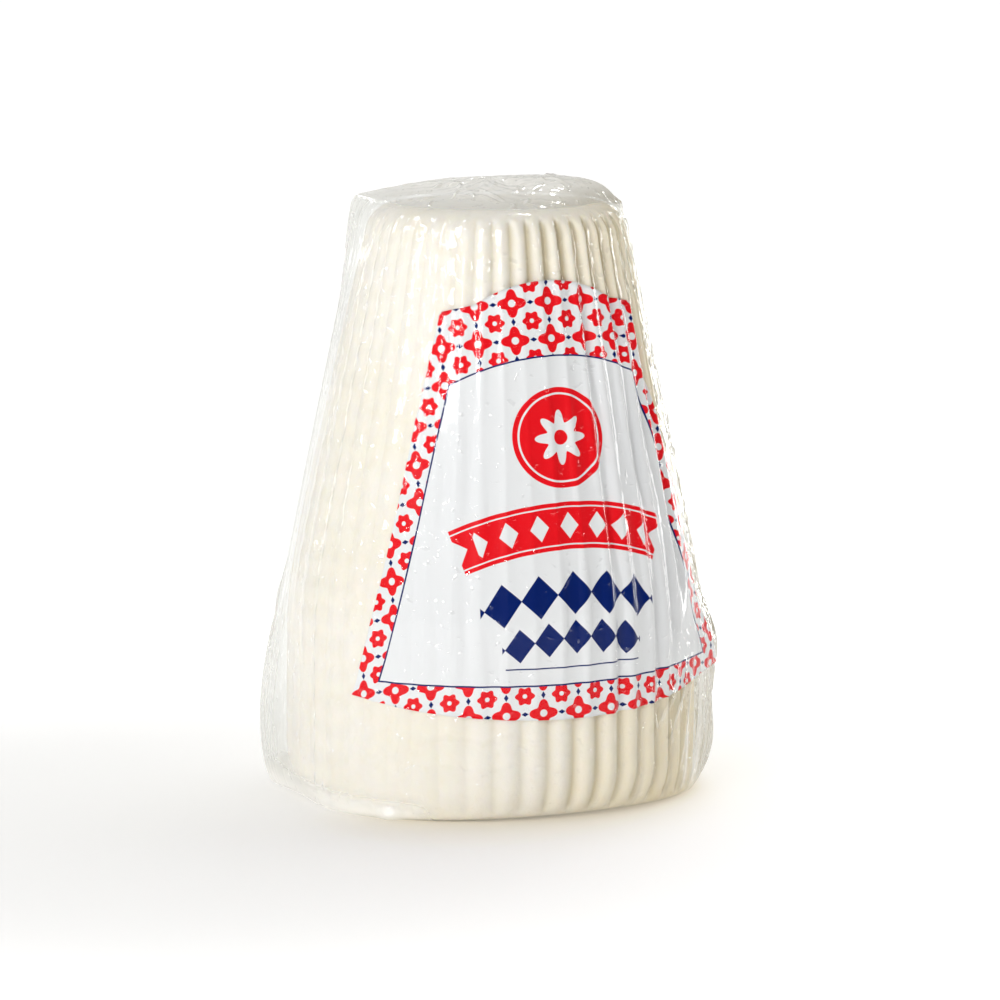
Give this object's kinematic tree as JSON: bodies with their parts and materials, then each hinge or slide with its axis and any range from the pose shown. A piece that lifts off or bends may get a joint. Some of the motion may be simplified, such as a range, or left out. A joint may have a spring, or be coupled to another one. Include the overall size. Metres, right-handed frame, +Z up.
{
  "type": "whole salted ricotta in a vacuum bag",
  "caption": "Whole fluted cone of salted ricotta, vacuum packed in a clear film bag with a die-cut label on its front.",
  "frame": {"origin": "middle of the flat face that the cheese stands on", "axes": "+Z up along the cone's axis, the label's centre line faces -Y, +X to the label's right"},
  "size_m": [0.149, 0.1477, 0.2187],
  "materials": {
    "cheese": "satin",
    "film": "gloss",
    "label": "gloss"
  },
  "bodies": {
    "root": {"sealed_cheese": "cheese", "label": "label"}
  },
  "joints": []
}
